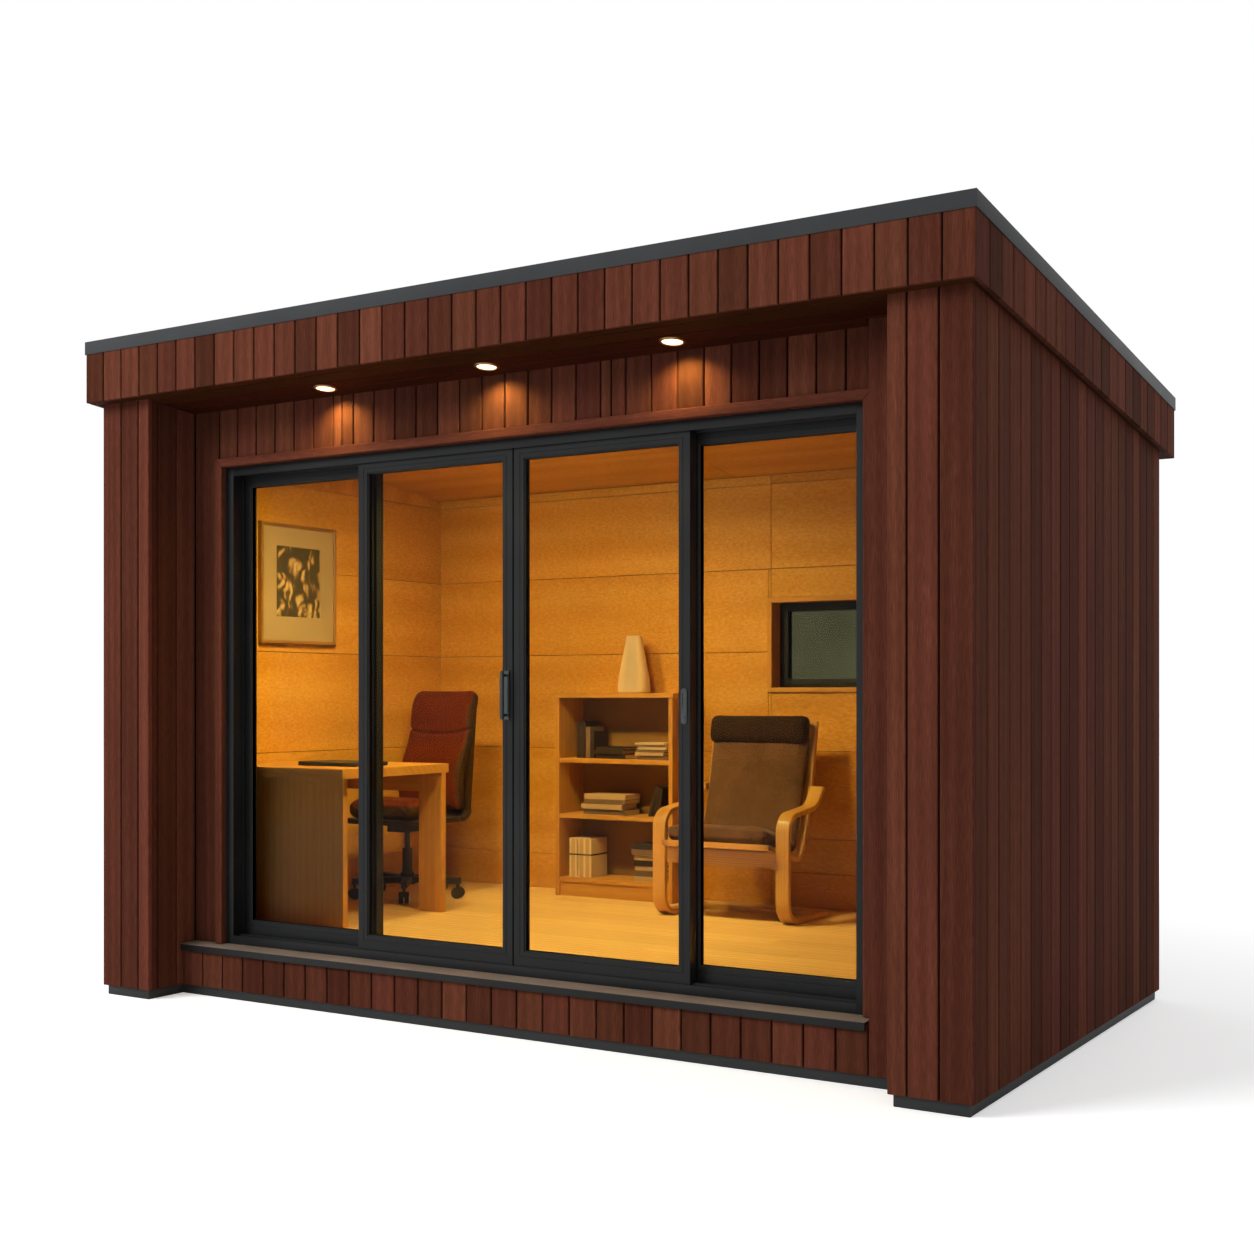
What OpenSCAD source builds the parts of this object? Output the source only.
// Timber-clad garden room with a four-panel sliding door set.
// Millimetres. +Z is up, +X is to the right as seen from the front, the front faces -Y.
// The origin is on the ground, under the middle of the roof.
// "Back" distances are measured from the front face of the piers towards the rear.

/* [Body] */
// Width over the cladding
body_w = 3964; // [3400:1:5200]
// Depth over the cladding, from the front of the piers to the rear face
body_d = 2326; // [2250:1:3200]
// Thickness of a side or rear wall without its inner lining
wall_t = 136; // [100:1:220]
// Thickness of the inner lining boards
lining_t = 14; // [9:1:25]
// Width of each front pier
pier_w = 286; // [200:1:400]
// Height of the dark base rail
base_h = 41; // [25:1:90]
// Set-back of the base rail behind the cladding
base_inset = 15; // [5:1:40]
// Width of a base rail
rail_w = 75; // [45:1:120]
// Height of the finished floor above the ground
floor_h = 300; // [285:1:340]

/* [Front wall] */
// Distance back to the wall under the sill
base_wall_back = 195; // [150:1:240]
// Distance back to the wall round the doors
door_wall_back = 265; // [245:1:320]
// Gap between the end of the sill and the board beside it
sill_end_gap = 5; // [2:1:12]
// How far the sill stands out from the wall below
sill_overhang = 15; // [8:1:30]
// Height of the folded front edge of the sill
sill_edge_h = 28; // [20:1:40]
// Thickness of the sill's sheet metal
sill_sheet = 4; // [2:1:6]
// Fall of the sill's top towards the front
sill_fall = 6; // [2:1:12]
// Face width of the timber trim round the doors
trim_face = 38; // [25:1:60]
// How far the trim stands out from the wall
trim_proud = 25; // [10:1:35]

/* [Roof] */
// Height of the roof's front edge
front_h = 2850; // [2700:1:3100]
// Fall of the roof from front to rear, in degrees
roof_pitch = 5.4; // [3:0.1:7]
// Overhang in front of the piers
eaves_front = 70; // [40:1:160]
// Overhang beyond each side wall
eaves_side = 36; // [25:1:120]
// Overhang beyond the rear wall
eaves_rear = 137; // [60:1:200]
// Height of the whole roof edge, trim and fascia together
edge_h = 265; // [220:1:340]
// Height of the metal edge trim
edge_trim_h = 56; // [40:1:90]
// Thickness of the metal edge trim
edge_trim_t = 4; // [2:1:6]
// Width of the metal trim's top flange
edge_flange = 60; // [40:1:100]
// Thickness of the fascia boards
fascia_t = 20; // [16:1:30]
// Thickness of the soffit boards
soffit_t = 18; // [12:1:25]
// Thickness of the roof covering
membrane_t = 6; // [3:1:10]

/* [Downlights] */
// Distance between two downlights
light_pitch = 820; // [500:1:1000]
// Diameter of a downlight's rim
light_d = 98; // [80:1:120]
// Diameter of a downlight's lens
light_lens_d = 76; // [50:1:79]
// Distance from the front of the piers to the downlights
light_back = 150; // [80:1:190]

/* [Door set] */
// Width of the door frame
frame_w = 3016; // [2600:1:3100]
// Height of the door frame
frame_h = 2078; // [1980:1:2120]
// Face width of a jamb
jamb_face = 38; // [30:1:60]
// Face height of the frame's head
head_face = 38; // [30:1:60]
// Height of the threshold
threshold_h = 36; // [34:1:50]
// Thickness of a fin between two tracks
fin_t = 6; // [4:1:10]
// Thickness of a panel
panel_t = 44; // [36:1:60]
// Face width of a panel's stile
stile_w = 48; // [40:1:70]
// Height of a panel's top rail
top_rail_h = 58; // [50:1:90]
// Height of a panel's bottom rail
bottom_rail_h = 65; // [55:1:110]
// Running clearance of a sliding panel
run_gap = 6; // [5:1:8]
// Sideways place of the line where the sliding panels meet
meet_x = 25; // [-60:1:60]
// Width of a sliding panel
slide_w = 786; // [650:1:790]
// Width of the track rib that a panel runs on
rib_t = 8; // [5:1:10]
// Thickness of a sealed glass unit
glass_t = 24; // [20:1:28]
// Height of the handles above the finished floor
handle_h = 1010; // [900:1:1150]

/* [Rear window] */
// Width of the window lining, outside to outside
window_w = 850; // [500:1:1200]
// Height of the window lining, outside to outside
window_h = 454; // [350:1:700]
// Height of the lining's underside above the ground
window_z = 1326; // [1200:1:1500]
// Sideways place of the window's middle
window_x = 601; // [300:1:800]
// Thickness of the window lining
window_lining_t = 22; // [15:1:30]
// Face width of the window frame
window_face = 42; // [30:1:60]

/* [Furniture] */
// Width of the desk
desk_w = 847; // [700:1:1000]
// Depth of the desk
desk_d = 732; // [600:1:800]
// Height of the desk
desk_h = 692; // [660:1:760]
// Thickness of the desk's top
desk_t = 42; // [25:1:60]
// Width of the leg board at the desk's free corner
desk_leg_w = 137; // [100:1:200]
// Thickness of the desk's panel and leg board
desk_board_t = 30; // [18:1:40]
// Width of the bookcase
bookcase_w = 685; // [500:1:900]
// Depth of the bookcase
bookcase_d = 230; // [200:1:260]
// Height of the bookcase
bookcase_h = 1021; // [900:1:1200]
// Thickness of the bookcase's boards
bookcase_t = 22; // [16:1:30]
// Width of the armchair over its bent side strips
armchair_w = 693; // [600:1:760]
// Width of a side strip
arm_strip_w = 66; // [40:1:80]
// Thickness of a bent strip
arm_strip_t = 24; // [16:1:30]
// Thickness of the armchair's seat cushion
cushion_t = 84; // [60:1:110]
// Thickness of the cushion on the armchair's back
back_cushion_t = 50; // [35:1:60]
// Height of the vase
vase_h = 286; // [220:1:340]
// Width of the office chair's seat
chair_w = 450; // [420:1:520]
// Height of the office chair's seat shell above the floor
chair_seat_h = 375; // [350:1:450]
// Width of the picture
picture_w = 522; // [400:1:700]
// Height of the picture
picture_h = 582; // [400:1:700]

/* [Hidden] */
$fn = 48;

// Colours
board_red = "#5a3126";
metal_dark = "#3a3d40";
lining_warm = "#d9a866";
oak = "#c99a5e";
glass_tint = [0.75, 0.8, 0.8, 0.35];

// Main places
roof_w = body_w + 2 * eaves_side;
roof_d = eaves_front + body_d + eaves_rear;
front_y = eaves_front - roof_d / 2;
half_w = body_w / 2;
pier_in = half_w - pier_w;
inner_x = half_w - wall_t;
inner_back = body_d - wall_t;
room_x = inner_x - lining_t;
room_back = inner_back - lining_t;
deck_h = edge_h - membrane_t - soffit_t;
light_bore_d = light_d - 16;
ceiling_drop = membrane_t + deck_h + lining_t;

// Door set
frame_drop = 38;
frame_setback = 10;
frame_z = floor_h - threshold_h - frame_drop;
frame_back = door_wall_back + frame_setback;
track_w = panel_t + 2 * run_gap;
frame_depth = 3 * fin_t + 2 * track_w;
door_inner = frame_back + frame_depth;
head_track_h = 24;
threshold_track_h = 14;
head_base = head_face - head_track_h;
threshold_base = threshold_h - threshold_track_h;
panel_z = frame_z + threshold_base + run_gap;
panel_top = frame_z + frame_h - head_base - run_gap;
front_panel_back = frame_back + fin_t + run_gap;
rear_panel_back = front_panel_back + track_w + fin_t;
frame_in = frame_w / 2 - jamb_face;
slide_left_x = meet_x - run_gap / 2 - slide_w;
slide_right_x = meet_x + run_gap / 2;
fixed_left_w = slide_left_x + stile_w + frame_in;
fixed_right_x = slide_right_x + slide_w - stile_w;
fixed_right_w = frame_in - fixed_right_x;
rib_h = 18;
groove_w = rib_t + 2 * run_gap;
rebate = 14;
jamb_channel = 20;
cheek_x = frame_w / 2 + trim_face;

// Sill
sill_back = base_wall_back - sill_overhang;
sill_front_z = frame_z - sill_fall;

// Hair's breadth between pieces that meet on the roof's slope
seat_gap = 0.1;

// Turn between two points on a bend
bend_step = 7.5;

// Furniture places
desk_back = 441;
desk_x = -room_x;
bookcase_x = -911;
bookcase_back = room_back - bookcase_d;
shelf_heights = [94, 414, 694];
armchair_x = -100;
armchair_back = 1548;
arm_rail_gap = 10;
arm_rail_w = 32;
arm_runner_l = 300;
arm_leg_l = 300;
arm_turn = 84;
arm_l = 167;
arm_end_turn = -42;
arm_end_r = 110;
arm_end_l = 70;
arm_bend_r = 90;
headrest = [150, 84];
seat_front = [-45, 345];
seat_l = 283;
seat_tilt = 15;
seat_bend_r = 75;
back_lean = 20;
back_low_l = 150;
back_bend = 9;
back_bend_r = 700;
back_high_l = 330;
back_slats = [40, 150, 260];
seat_turn = 90 - back_lean + seat_tilt;
chair_x = desk_x + 327;
chair_back = 1500;
chair_lean = 14;
chair_front = -235;
chair_bend = [175, 70];
chair_shell_t = 24;
chair_back_l = 605;
chair_seat_l = 378;
chair_seat_pad_t = 84;
chair_pad_t = 60;
picture_back = 791;
picture_z = 1559;

// ---------------------------------------------------------------- helpers

// Y of a point that lies the given distance behind the front of the piers
function y_at(back) = front_y + back;

// Height of the roof's top plane at that distance
function roof_z(back) = front_h - (back + eaves_front) * tan(roof_pitch);

// Carries a YZ outline along X
module along_x(x0, x1) {
    translate([x0, 0, 0]) rotate([90, 0, 90]) linear_extrude(x1 - x0) children();
}

// Box between two places in X, two distances back and two heights
module block(x0, x1, back0, back1, z0, z1) {
    translate([x0, y_at(back0), z0]) cube([x1 - x0, back1 - back0, z1 - z0]);
}

// Wall part that stands on z0 and ends in the roof's slope, drop below its top and a hair lower
module under_roof(x0, x1, back0, back1, z0, drop) {
    d = drop + seat_gap;
    along_x(x0, x1) polygon([
        [y_at(back0), z0], [y_at(back1), z0],
        [y_at(back1), roof_z(back1) - d], [y_at(back0), roof_z(back0) - d]
    ]);
}

// Slab that follows the roof's slope between two depths below its top
module roof_slab(x0, x1, back0, back1, depth0, depth1) {
    along_x(x0, x1) polygon([
        [y_at(back0), roof_z(back0) - depth1], [y_at(back1), roof_z(back1) - depth1],
        [y_at(back1), roof_z(back1) - depth0], [y_at(back0), roof_z(back0) - depth0]
    ]);
}

// Points of a bent path that starts along +X, moved off to its left. Each step is a straight run, then a turn
// in degrees of that radius, where points lie on the arc about every bend_step degrees
function bent_path(steps, off, i = 0, at = [0, 0], heading = 0) =
    let (
        left = [-sin(heading), cos(heading)],
        end = at + steps[i][0] * [cos(heading), sin(heading)],
        turn = steps[i][1],
        r = sign(turn) * steps[i][2],
        centre = end + r * left,
        count = max(1, round(abs(turn) / bend_step)),
        arc = [
            for (k = [0:count])
                let (h = heading + turn * k / count) centre + (r - off) * [sin(h), -cos(h)]
        ],
        next = centre + r * [sin(heading + turn), -cos(heading + turn)]
    )
    concat(
        i == 0 ? [at + off * left] : [],
        i == len(steps) - 1 ? [end + off * left] : concat(arc, bent_path(steps, off, i + 1, next, heading + turn))
    );

// Strip of one thickness along a bent path
module bent_strip(t, steps) {
    left = bent_path(steps, t / 2);
    right = bent_path(steps, -t / 2);
    polygon(concat(left, [for (i = [len(right) - 1:-1:0]) right[i]]));
}

// ---------------------------------------------------------------- base and floor

// Outline of the body in plan, moved in by inset, with the front recess
module body_plan(inset) {
    x = half_w - inset;
    x_in = pier_in + inset;
    y0 = y_at(inset);
    y1 = y_at(base_wall_back + inset);
    y2 = y_at(body_d - inset);
    polygon([[-x, y0], [-x_in, y0], [-x_in, y1], [x_in, y1], [x_in, y0], [x, y0], [x, y2], [-x, y2]]);
}

module base_rail() {
    bay = (2 * (half_w - base_inset) - rail_w) / 4;
    color(metal_dark) union() {
        linear_extrude(base_h) difference() {
            body_plan(base_inset);
            translate([base_inset + rail_w - half_w, y_at(base_wall_back + base_inset + rail_w)])
                square([2 * (half_w - base_inset - rail_w), body_d - base_wall_back - 2 * (base_inset + rail_w)]);
        }
        for (i = [1:3])
            block(base_inset - half_w + i * bay, base_inset - half_w + i * bay + rail_w,
                base_wall_back + base_inset, body_d - base_inset, 0, base_h);
    }
}

// The deck fills the room, and its front ledge carries the door's threshold
module floor_deck() {
    color(oak) union() {
        block(-inner_x, inner_x, door_inner, inner_back, base_h, floor_h);
        block(-pier_in, cheek_x, base_wall_back + wall_t, door_inner + 1, base_h, frame_z);
    }
}

// ---------------------------------------------------------------- walls

module side_wall(x0) {
    color(board_red)
        under_roof(x0, x0 + wall_t, door_inner, inner_back, base_h, edge_h - soffit_t);
}

module rear_wall() {
    color(board_red) difference() {
        under_roof(-half_w, half_w, inner_back, body_d, base_h, edge_h - soffit_t);
        block(window_x - window_w / 2, window_x + window_w / 2, inner_back - 1, body_d + 1,
            window_z, window_z + window_h);
    }
}

module pier(x0) {
    color(board_red)
        under_roof(x0, x0 + pier_w, 0, door_inner, base_h, edge_h - soffit_t);
}

module front_base_wall() {
    color(board_red)
        block(-pier_in, cheek_x, base_wall_back, base_wall_back + wall_t, base_h, sill_front_z - sill_sheet);
}

// The left cheek stands on the sill's level, the right one runs down to the base rail
module front_wall_left() {
    color(board_red)
        under_roof(-pier_in, -frame_w / 2, door_wall_back, door_inner, frame_z, edge_h - soffit_t);
}

module front_wall_right() {
    color(board_red) union() {
        under_roof(cheek_x, pier_in, base_wall_back, door_inner, base_h, edge_h - soffit_t);
        under_roof(frame_w / 2, cheek_x + 1, door_wall_back, door_inner, frame_z, edge_h - soffit_t);
    }
}

module header_wall() {
    color(board_red)
        under_roof(-frame_w / 2, frame_w / 2, door_wall_back, door_inner,
            frame_z + frame_h, edge_h - soffit_t);
}

// Mitred timber trim on three sides of the door frame
module door_trim() {
    x_in = frame_w / 2;
    x_out = cheek_x;
    top_in = frame_z + frame_h;
    top_out = top_in + trim_face;
    color(board_red) translate([0, y_at(door_wall_back), 0]) rotate([90, 0, 0])
        linear_extrude(trim_proud)
            polygon([
                [-x_out, frame_z], [-x_in, frame_z], [-x_in, top_in], [x_in, top_in],
                [x_in, frame_z], [x_out, frame_z], [x_out, top_out], [-x_out, top_out]
            ]);
}

// Folded metal sill: top sheet with a fall, front edge and drip lip
module sill() {
    y0 = y_at(sill_back);
    y1 = y_at(frame_back);
    y_wall = y_at(base_wall_back);
    z0 = sill_front_z;
    color(metal_dark) along_x(-pier_in, cheek_x - sill_end_gap) polygon([
        [y0, z0], [y0, z0 - sill_edge_h], [y_wall - 1, z0 - sill_edge_h],
        [y_wall - 1, z0 - sill_edge_h + sill_sheet], [y0 + sill_sheet, z0 - sill_edge_h + sill_sheet],
        [y0 + sill_sheet, z0 - sill_sheet], [y1, z0 - sill_sheet], [y1, frame_z]
    ]);
}

// ---------------------------------------------------------------- door set

// Comb outline of the head or threshold: a base and three fins, with a rib in each track
module track_profile(base, fin, rib) {
    y0 = y_at(frame_back);
    translate([y0, 0]) square([frame_depth, base]);
    for (i = [0:2])
        translate([y0 + i * (fin_t + track_w), 0]) square([fin_t, fin]);
    if (rib > 0)
        for (i = [0:1])
            translate([y0 + fin_t + i * (fin_t + track_w) + (track_w - rib_t) / 2, 0])
                square([rib_t, base + rib]);
}

module door_threshold() {
    color(metal_dark) translate([0, 0, frame_z])
        along_x(-frame_in, frame_in) track_profile(threshold_base, threshold_h, rib_h);
}

module door_head() {
    color(metal_dark) translate([0, 0, frame_z + frame_h]) mirror([0, 0, 1])
        along_x(-frame_in, frame_in) track_profile(head_base, head_face, 0);
}

// Jamb: a plate with three fins that close the tracks at the side
module door_jamb(side) {
    plate = jamb_face - jamb_channel;
    color(metal_dark) mirror([side > 0 ? 1 : 0, 0, 0])
        translate([-frame_w / 2, 0, frame_z]) linear_extrude(frame_h) union() {
            translate([0, y_at(frame_back)]) square([plate, frame_depth]);
            for (i = [0:2])
                translate([0, y_at(frame_back) + i * (fin_t + track_w)]) square([jamb_face, fin_t]);
        }
}

// Panel frame with a glazing rebate and a groove that runs over the track rib
module panel(x0, width, back) {
    color(metal_dark) difference() {
        block(x0, x0 + width, back, back + panel_t, panel_z, panel_top);
        block(x0 + stile_w, x0 + width - stile_w, back - 1, back + panel_t + 1,
            panel_z + bottom_rail_h, panel_top - top_rail_h);
        block(x0 + stile_w - rebate, x0 + width - stile_w + rebate,
            back + (panel_t - glass_t) / 2, back + (panel_t + glass_t) / 2,
            panel_z + bottom_rail_h - rebate, panel_top - top_rail_h + rebate);
        block(x0 - 1, x0 + width + 1, back + (panel_t - groove_w) / 2, back + (panel_t + groove_w) / 2,
            panel_z - 1, panel_z + rib_h);
    }
}

module panel_glass(x0, width, back) {
    color(glass_tint)
        block(x0 + stile_w - rebate, x0 + width - stile_w + rebate,
            back + (panel_t - glass_t) / 2, back + (panel_t + glass_t) / 2,
            panel_z + bottom_rail_h - rebate, panel_top - top_rail_h + rebate);
}

// A fixed panel reaches into its jamb's channel
module fixed_panel_left() panel(-frame_in - jamb_channel, fixed_left_w + jamb_channel, rear_panel_back);
module fixed_panel_right() panel(fixed_right_x, fixed_right_w + jamb_channel, rear_panel_back);
module fixed_glass() {
    panel_glass(-frame_in - jamb_channel, fixed_left_w + jamb_channel, rear_panel_back);
    panel_glass(fixed_right_x, fixed_right_w + jamb_channel, rear_panel_back);
}

// Bow handle: two stand-offs and a bar with rounded ends
module pull_handle() {
    x = slide_left_x + slide_w - stile_w / 2;
    length = 190;
    standoff = 38;
    bar_d = 16;
    z0 = floor_h + handle_h - length / 2;
    y_face = y_at(front_panel_back);
    color(metal_dark) union() {
        translate([x - 11, y_face - 6, z0]) cube([22, 6, length]);
        for (z = [z0 + 18, z0 + length - 18])
            translate([x, y_face - 3, z]) rotate([90, 0, 0]) cylinder(d = bar_d - 4, h = standoff - 3);
        translate([x, y_face - standoff, z0 + bar_d / 2]) cylinder(d = bar_d, h = length - bar_d);
        for (z = [z0 + bar_d / 2, z0 + length - bar_d / 2])
            translate([x, y_face - standoff, z]) sphere(d = bar_d);
    }
}

// Flush pull with a finger recess and a lock
module flush_pull() {
    x = slide_right_x + slide_w - stile_w / 2;
    length = 130;
    plate_w = 26;
    proud = 4;
    z = floor_h + handle_h - 40;
    y_face = y_at(front_panel_back);
    color(metal_dark) translate([x, y_face, z]) rotate([90, 0, 0]) union() {
        difference() {
            linear_extrude(proud) union() {
                translate([-plate_w / 2, -length / 2 + plate_w / 2]) square([plate_w, length - plate_w]);
                for (s = [-1, 1])
                    translate([0, s * (length - plate_w) / 2]) circle(d = plate_w);
            }
            translate([-7, -8, 1]) cube([14, 54, proud]);
        }
        translate([0, -40, 0]) cylinder(d = 15, h = proud + 3);
    }
}

// ---------------------------------------------------------------- roof

module roof_deck() {
    x = roof_w / 2 - fascia_t;
    color(board_red)
        roof_slab(-x, x, fascia_t - eaves_front, body_d + eaves_rear - fascia_t,
            membrane_t + seat_gap, membrane_t + deck_h - seat_gap);
}

module roof_membrane() {
    x = roof_w / 2 - edge_trim_t;
    color("#2e3032")
        roof_slab(-x, x, edge_trim_t - eaves_front, body_d + eaves_rear - edge_trim_t, edge_trim_t, membrane_t);
}

// Metal edge trim: a face on four sides with a top flange
module roof_trim() {
    x = roof_w / 2;
    b0 = -eaves_front;
    b1 = body_d + eaves_rear;
    t = edge_trim_t;
    color(metal_dark) difference() {
        roof_slab(-x, x, b0, b1, 0, edge_trim_h);
        roof_slab(t - x, x - t, b0 + t, b1 - t, t, edge_trim_h + 1);
        roof_slab(edge_flange - x, x - edge_flange, b0 + edge_flange, b1 - edge_flange, -1, t + 1);
    }
}

module fascia_across(back0) {
    x = roof_w / 2 - edge_trim_t;
    color(board_red)
        roof_slab(-x, x, back0, back0 + fascia_t - edge_trim_t - seat_gap, membrane_t + seat_gap, edge_h);
}

module fascia_along(x0) {
    t = fascia_t;
    color(board_red)
        roof_slab(x0, x0 + t - edge_trim_t, t - eaves_front, body_d + eaves_rear - t - seat_gap,
            membrane_t + seat_gap, edge_h);
}

// Soffit boards: the recess between the piers and a strip under the eaves all round
module soffit() {
    x = roof_w / 2 - fascia_t;
    d0 = edge_h - soffit_t;
    color(board_red) difference() {
        union() {
            roof_slab(-x, x, fascia_t - eaves_front, 0, d0, edge_h);
            roof_slab(-pier_in, pier_in, -1, door_wall_back, d0, edge_h);
            roof_slab(-x, x, body_d, body_d + eaves_rear - fascia_t, d0, edge_h);
            for (s = [-1, 1])
                roof_slab(s > 0 ? half_w : -x, s > 0 ? x : -half_w, -1, body_d + 1, d0, edge_h);
        }
        at_downlights() translate([0, 0, -1]) cylinder(d = light_bore_d, h = soffit_t + 2);
        roof_slab(cheek_x, pier_in + 1, base_wall_back, door_wall_back + 1, d0 - 1, edge_h + 1);
    }
}

// Places what is drawn on a level at a downlight's place in the sloping soffit
module at_downlights() {
    z = roof_z(light_back) - edge_h;
    for (i = [-1:1])
        translate([i * light_pitch, y_at(light_back), z]) rotate([-roof_pitch, 0, 0]) children();
}

module downlight_rims() {
    rim_h = 5;
    can_h = soffit_t - 3;
    color("#b8956a") at_downlights() rotate_extrude() polygon([
        [light_lens_d / 2, -rim_h], [light_d / 2 - 3, -rim_h], [light_d / 2, -1], [light_d / 2, 0],
        [light_bore_d / 2 - 1, 0], [light_bore_d / 2 - 1, can_h], [light_lens_d / 2 - 1, can_h],
        [light_lens_d / 2 - 1, 2], [light_lens_d / 2, 2]
    ]);
}

module downlight_lenses() {
    color("#ffe2b0") at_downlights() translate([0, 0, -3]) cylinder(d = light_lens_d, h = 5);
}

// ---------------------------------------------------------------- rear window

module window_ring(x0, x1, z0, z1, face, back0, back1) {
    difference() {
        block(x0, x1, back0, back1, z0, z1);
        block(x0 + face, x1 - face, back0 - 1, back1 + 1, z0 + face, z1 - face);
    }
}

module window_lining() {
    color(oak)
        window_ring(window_x - window_w / 2, window_x + window_w / 2, window_z, window_z + window_h,
            window_lining_t, room_back - 12, inner_back + wall_t / 2);
}

module window_frame() {
    sash_d = 50;
    proud = 12;
    // overhang at each end, reach beyond the wall and thickness of the sill outside
    drip = [15, 35, 8];
    t = window_lining_t;
    b0 = inner_back + wall_t / 2;
    color(metal_dark) union() {
        window_ring(window_x - window_w / 2, window_x + window_w / 2, window_z, window_z + window_h,
            t + window_face, b0, b0 + sash_d);
        // weathering frame and sill outside
        window_ring(window_x - window_w / 2, window_x + window_w / 2, window_z, window_z + window_h,
            t, b0 + sash_d - 1, body_d + proud);
        block(window_x - window_w / 2 - drip[0], window_x + window_w / 2 + drip[0], body_d, body_d + drip[1],
            window_z - drip[2], window_z);
        block(window_x - window_w / 2, window_x + window_w / 2, body_d, body_d + proud, window_z - drip[2],
            window_z + 1);
    }
}

module window_glass() {
    t = window_lining_t + window_face;
    b0 = inner_back + wall_t / 2 + 13;
    color(glass_tint)
        block(window_x - window_w / 2 + t, window_x + window_w / 2 - t, b0, b0 + glass_t,
            window_z + t, window_z + window_h - t);
}

// ---------------------------------------------------------------- linings

module side_linings() {
    color(lining_warm) for (x = [-inner_x, room_x])
        under_roof(x, x + lining_t, door_inner, inner_back, floor_h, ceiling_drop);
}

module rear_lining() {
    color(lining_warm) difference() {
        under_roof(-room_x, room_x, room_back, inner_back, floor_h, ceiling_drop);
        block(window_x - window_w / 2, window_x + window_w / 2, room_back - 1, inner_back + 1,
            window_z, window_z + window_h);
    }
}

module ceiling_lining() {
    color(lining_warm)
        roof_slab(-inner_x, inner_x, door_inner, inner_back, ceiling_drop - lining_t + seat_gap, ceiling_drop);
}

// ---------------------------------------------------------------- furniture

// Desk against the side wall: a thick top on a front panel and a leg board at the free corner
module desk() {
    under = floor_h + desk_h - desk_t;
    x1 = desk_x + desk_w;
    panel_setback = 54;
    panel_end = 46;
    leg_setback = 22;
    apron_h = 90;
    back1 = desk_back + desk_d;
    color(oak) union() {
        block(desk_x, x1, desk_back, back1, under, under + desk_t);
        block(desk_x, x1 - panel_end, desk_back + panel_setback, desk_back + panel_setback + desk_board_t,
            floor_h, under + 1);
        block(x1 - desk_leg_w, x1, back1 - leg_setback - desk_board_t, back1 - leg_setback, floor_h, under + 1);
        block(desk_x, x1 - desk_leg_w + 1, back1 - leg_setback - desk_board_t, back1 - leg_setback,
            under - apron_h, under + 1);
    }
}

// Flat case with rounded corners, lying on the desk
module desk_pad() {
    size = [350, 230, 18];
    at = [392, 200];
    corner_r = 14;
    color("#26282a") translate([desk_x + at[0], y_at(desk_back + at[1]), floor_h + desk_h])
        linear_extrude(size[2]) round_rect(size[0], size[1], corner_r);
}

// Five-star base on twin castors, gas column, mechanism and the seat's and back's dark shells
module office_chair_base() {
    castor_d = 56;
    castor_w = 20;
    castor_in = 12;
    castor_gap = 28;
    arm_reach = 280;
    arm_t = 30;
    arm_w = [52, 28];
    hub_z = floor_h + 95;
    hub_h = 60;
    column_l = 150;
    mechanism = [110, 200, 46];
    mechanism_y = -90;
    shell_z = floor_h + chair_seat_h;
    shell_corner_r = 50;
    shell_inset = 12;
    tongue = 40;
    color("#222325") translate([chair_x, y_at(chair_back), 0]) union() {
        for (i = [0:4]) rotate([0, 0, 90 + 72 * i]) {
            translate([0, 0, hub_z + 8 - arm_t]) linear_extrude(arm_t)
                polygon([[0, -arm_w[0] / 2], [arm_reach, -arm_w[1] / 2], [arm_reach, arm_w[1] / 2], [0, arm_w[0] / 2]]);
            for (s = [-1, 1])
                translate([arm_reach - castor_in, (s * castor_gap + castor_w) / 2, floor_h + castor_d / 2])
                    rotate([90, 0, 0]) cylinder(d = castor_d, h = castor_w);
            translate([arm_reach - castor_in, 0, floor_h + castor_d / 2])
                cylinder(d = 16, h = hub_z - floor_h - castor_d / 2);
        }
        translate([0, 0, hub_z - hub_h / 2]) cylinder(d1 = 84, d2 = 66, h = hub_h);
        translate([0, 0, hub_z]) cylinder(d = 50, h = column_l);
        translate([0, 0, hub_z]) cylinder(d = 28, h = shell_z - hub_z);
        translate([-mechanism[0] / 2, mechanism_y, shell_z + 1 - mechanism[2]]) cube(mechanism);
        // seat shell with rounded corners, running up into the back shell
        translate([-chair_w / 2, chair_front, shell_z]) linear_extrude(chair_shell_t)
            round_rect(chair_w, chair_bend[0] - chair_front, shell_corner_r);
        along_x(shell_inset - chair_w / 2, chair_w / 2 - shell_inset)
            translate([chair_bend[0] - tongue, shell_z + chair_shell_t / 2])
                bent_strip(chair_shell_t, [[tongue, 90 - chair_lean, chair_bend[1]], [chair_back_l, 0, 0]]);
    }
}

// Seat pad and tall back pad, a little smaller than their shells
module office_chair_pads() {
    gap = 1;
    seat_inset = 15;
    back_inset = 20;
    nose = 7;
    turn = 90 - chair_lean;
    r = chair_bend[1];
    pad_z = floor_h + chair_seat_h + chair_shell_t + gap;
    foot = [chair_bend[0] + r * sin(turn), pad_z - gap - chair_shell_t / 2 + r * (1 - cos(turn))];
    color("#8a4a2c") translate([chair_x, y_at(chair_back), 0]) {
        translate([seat_inset - chair_w / 2, chair_front + nose, pad_z])
            cube([chair_w - 2 * seat_inset, chair_seat_l, chair_seat_pad_t]);
        translate([0, foot[0], foot[1]]) rotate([-chair_lean, 0, 0])
            translate([back_inset - chair_w / 2, -chair_shell_t / 2 - gap - chair_pad_t, 0])
                cube([chair_w - 2 * back_inset, chair_pad_t, chair_back_l - 10]);
    }
}

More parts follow.
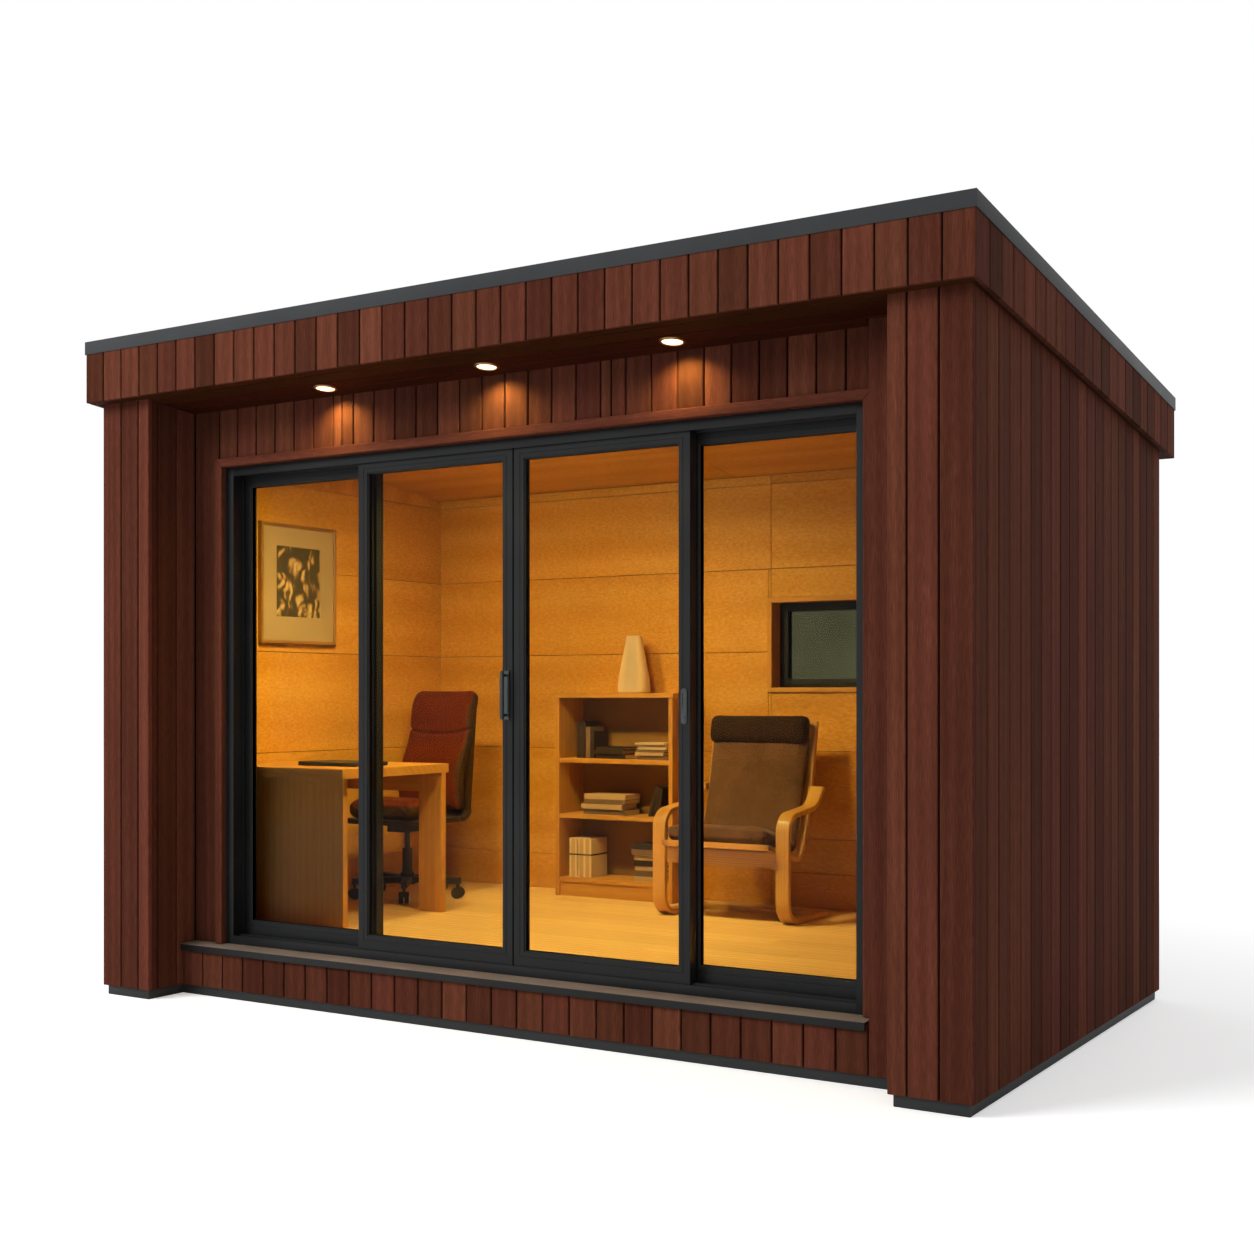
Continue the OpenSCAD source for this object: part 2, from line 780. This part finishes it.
// Open bookcase: sides, top, shelves, a set-back plinth and a thin back panel
module bookcase() {
    shelf_setback = 5;
    plinth_setback = 12;
    back_panel_t = 8;
    t = bookcase_t;
    x0 = bookcase_x;
    x1 = bookcase_x + bookcase_w;
    b0 = bookcase_back;
    b1 = bookcase_back + bookcase_d;
    top = floor_h + bookcase_h;
    overhang = 8;
    color(oak) union() {
        for (x = [x0, x1 - t]) block(x, x + t, b0, b1, floor_h, top);
        block(x0 - overhang, x1 + overhang, b0 - overhang, b1, top - t, top);
        for (h = shelf_heights) block(x0 + 1, x1 - 1, b0 + shelf_setback, b1, floor_h + h - t, floor_h + h);
        block(x0 + 1, x1 - 1, b0 + plinth_setback, b0 + plinth_setback + t, floor_h,
            floor_h + shelf_heights[0] - t + 1);
        block(x0 + 1, x1 - 1, b1 - back_panel_t, b1, floor_h + 1, top - 1);
    }
}

// A stack of lying books, each a little shorter than the one below
module book_stack(x, z, count, length) {
    book_h = 22;
    for (i = [0:count - 1])
        translate([bookcase_x + x + 4 * (i % 2), y_at(bookcase_back + 35 + 5 * (i % 3)), z + i * book_h])
            cube([length - 8 * i, 150, book_h - 0.5]);
}

// Books and boxes on the shelves
module books() {
    low = floor_h + shelf_heights[0];
    middle = floor_h + shelf_heights[1];
    high = floor_h + shelf_heights[2];
    color("#8d8272") {
        for (i = [0:3])
            translate([bookcase_x + 90 + 27 * i, y_at(bookcase_back + 60), high]) cube([24, 130, 178 - 14 * i]);
        book_stack(210, high, 3, 170);
        book_stack(450, high, 4, 180);
        book_stack(150, middle, 3, 290);
        for (x = [60, 140])
            translate([bookcase_x + x, y_at(bookcase_back + 40), low]) cube([75, 150, 180]);
        book_stack(440, low, 6, 190);
    }
}

// Tall clay vase: a turned cone with a rounded foot and a narrow neck
module vase() {
    h = vase_h;
    wall = 5;
    at = [397, 115];
    // Radius and share of the height of each ring from the belly to the lip
    body = [[76, 0.3], [62, 0.56], [50, 0.76], [41, 0.93], [39, 1]];
    color("#d8c6a8") translate([bookcase_x + at[0], y_at(bookcase_back + at[1]), floor_h + bookcase_h])
        rotate_extrude() polygon(concat([[0, 0], [72, 0], [80, 6], [83, 26]],
            [for (p = body) [p[0], p[1] * h]],
            [for (i = [len(body) - 1:-1:0]) [body[i][0] - wall, body[i][1] * h]],
            [[78, 26], [70, 10], [0, 10]]));
}

// Rounded rectangle made from squares and circles
module round_rect(w, h, r) {
    translate([r, 0]) square([w - 2 * r, h]);
    translate([0, r]) square([w, h - 2 * r]);
    for (x = [r, w - r], y = [r, h - r])
        translate([x, y]) circle(r);
}

// Side strip: from the rear end of the runner forward, up the leg, back along the arm and up at its end
module armchair_side() {
    translate([arm_runner_l + arm_bend_r + arm_strip_t / 2, arm_strip_t / 2])
        mirror([1, 0]) bent_strip(arm_strip_t, [[arm_runner_l, 90, arm_bend_r],
            [arm_leg_l, arm_turn, arm_bend_r - 10], [arm_l, arm_end_turn, arm_end_r], [arm_end_l, 0, 0]]);
}

// Seat and back rail: one strip bent up behind the seat and again, less, towards its top
module armchair_rail() {
    translate(seat_front) rotate(-seat_tilt)
        bent_strip(arm_strip_t, [[seat_l, seat_turn, seat_bend_r], [back_low_l, back_bend, back_bend_r],
            [back_high_l, 0, 0]]);
}

// Carries an outline to the start of the back's lower run: X runs up the rail, Y towards the sitter
module on_low_back() {
    translate(seat_front) rotate(-seat_tilt)
        translate([seat_l + seat_bend_r * sin(seat_turn), seat_bend_r * (1 - cos(seat_turn))])
            rotate(seat_turn) children();
}

// The same for the start of the upper run
module on_high_back() {
    on_low_back() translate([back_low_l + back_bend_r * sin(back_bend), back_bend_r * (1 - cos(back_bend))])
        rotate(back_bend) children();
}

// Armchair: two bent side strips, cross bars, a pair of bent seat and back rails, and slats across the back
module armchair_frame() {
    w = armchair_w;
    tenon = 4;
    bar_x = arm_strip_w - tenon;
    bar_l = w - 2 * bar_x;
    bar_t = 24;
    rail_x = arm_strip_w + arm_rail_gap;
    stub = [45, 34];
    stub_at = [359, 562];
    color(oak) translate([armchair_x, y_at(armchair_back), floor_h]) union() {
        for (x = [0, w - arm_strip_w])
            along_x(x, x + arm_strip_w) armchair_side();
        // front bar under the seat
        translate([bar_x, arm_strip_t - tenon, 248]) cube([bar_l, bar_t, 68]);
        // floor bar between the runners
        translate([bar_x, 330, 3]) cube([bar_l, 60, arm_strip_t - 6]);
        for (x = [rail_x, w - rail_x - arm_rail_w])
            along_x(x, x + arm_rail_w) armchair_rail();
        // bar that ties the rails' front ends
        along_x(rail_x, w - rail_x) translate(seat_front) rotate(-seat_tilt)
            translate([0, -arm_strip_t / 2]) square([bar_t + 12, arm_strip_t]);
        // stubs that tie the arms' ends to the back rails
        for (x = [arm_strip_w - tenon, w - rail_x - tenon])
            translate([x, stub_at[0], stub_at[1]]) cube([arm_rail_gap + 2 * tenon, stub[0], stub[1]]);
        // bar behind the lower back and slats across the upper back
        along_x(rail_x + tenon, w - rail_x - tenon) {
            on_low_back() translate([60, -arm_strip_t / 2 - bar_t + tenon]) square([62, bar_t]);
            for (h = back_slats)
                on_high_back() translate([h, 2 - arm_strip_t / 2]) square([50, 10]);
        }
    }
}

// Cushion in one: a pad that follows the rails up to the pillow, thicker and wider on the seat
module armchair_cushion() {
    gap = 1;
    seat_x = arm_strip_w + arm_rail_gap;
    back_x = seat_x + 24;
    nose = 12;
    middle = arm_strip_t / 2 + gap + back_cushion_t / 2;
    color("#5d5344") translate([armchair_x, y_at(armchair_back), floor_h]) union() {
        along_x(seat_x, armchair_w - seat_x) translate(seat_front) rotate(-seat_tilt)
            translate([-nose, arm_strip_t / 2 + gap]) square([seat_l + nose, cushion_t]);
        along_x(back_x, armchair_w - back_x) translate(seat_front) rotate(-seat_tilt)
            translate([0, middle]) bent_strip(back_cushion_t, [[seat_l, seat_turn, seat_bend_r - middle],
                [back_low_l, back_bend, back_bend_r - middle], [back_high_l - headrest[0] + nose, 0, 0]]);
    }
}

// Pillow on the top of the rails, over the end of the cushion
module armchair_headrest() {
    gap = 3;
    inset = arm_strip_w + arm_rail_gap + 14;
    color("#4b4438") translate([armchair_x, y_at(armchair_back), floor_h])
        along_x(inset, armchair_w - inset)
            on_high_back() translate([back_high_l - headrest[0] + 24, arm_strip_t / 2 + gap])
                round_rect(headrest[0], headrest[1], headrest[1] / 2 - gap);
}

module picture_frame() {
    color("#8a5c34") translate([-room_x, y_at(picture_back), picture_z]) difference() {
        cube([26, picture_w, picture_h]);
        translate([-1, 18, 18]) cube([28, picture_w - 36, picture_h - 36]);
    }
}

module picture_print() {
    color("#e8ddc8") translate([-room_x, y_at(picture_back) + 18, picture_z + 18])
        cube([16, picture_w - 36, picture_h - 36]);
}

// ---------------------------------------------------------------- nodes

base_rail();
floor_deck();  // floor
side_wall(-half_w);  // left_wall
side_wall(inner_x);  // right_wall
rear_wall();
pier(-half_w);  // pier_left
pier(pier_in);  // pier_right
front_base_wall();
front_wall_left();
front_wall_right();
header_wall();
door_trim();
sill();
door_head();
door_threshold();
door_jamb(-1);  // door_jamb_left
door_jamb(1);  // door_jamb_right
fixed_panel_left();
fixed_panel_right();
fixed_glass();
panel(slide_left_x, slide_w, front_panel_back);  // sliding_panel_left
panel_glass(slide_left_x, slide_w, front_panel_back);  // sliding_glass_left
pull_handle();
panel(slide_right_x, slide_w, front_panel_back);  // sliding_panel_right
panel_glass(slide_right_x, slide_w, front_panel_back);  // sliding_glass_right
flush_pull();
roof_deck();
roof_membrane();
roof_trim();
fascia_across(edge_trim_t - eaves_front);  // fascia_front
fascia_across(body_d + eaves_rear - fascia_t);  // fascia_rear
fascia_along(edge_trim_t - roof_w / 2);  // fascia_left
fascia_along(roof_w / 2 - fascia_t);  // fascia_right
soffit();
downlight_rims();
downlight_lenses();
window_lining();
window_frame();
window_glass();
side_linings();
rear_lining();
ceiling_lining();
desk();
desk_pad();
office_chair_base();
office_chair_pads();
bookcase();
books();
vase();
armchair_frame();
armchair_cushion();
armchair_headrest();
picture_frame();
picture_print();
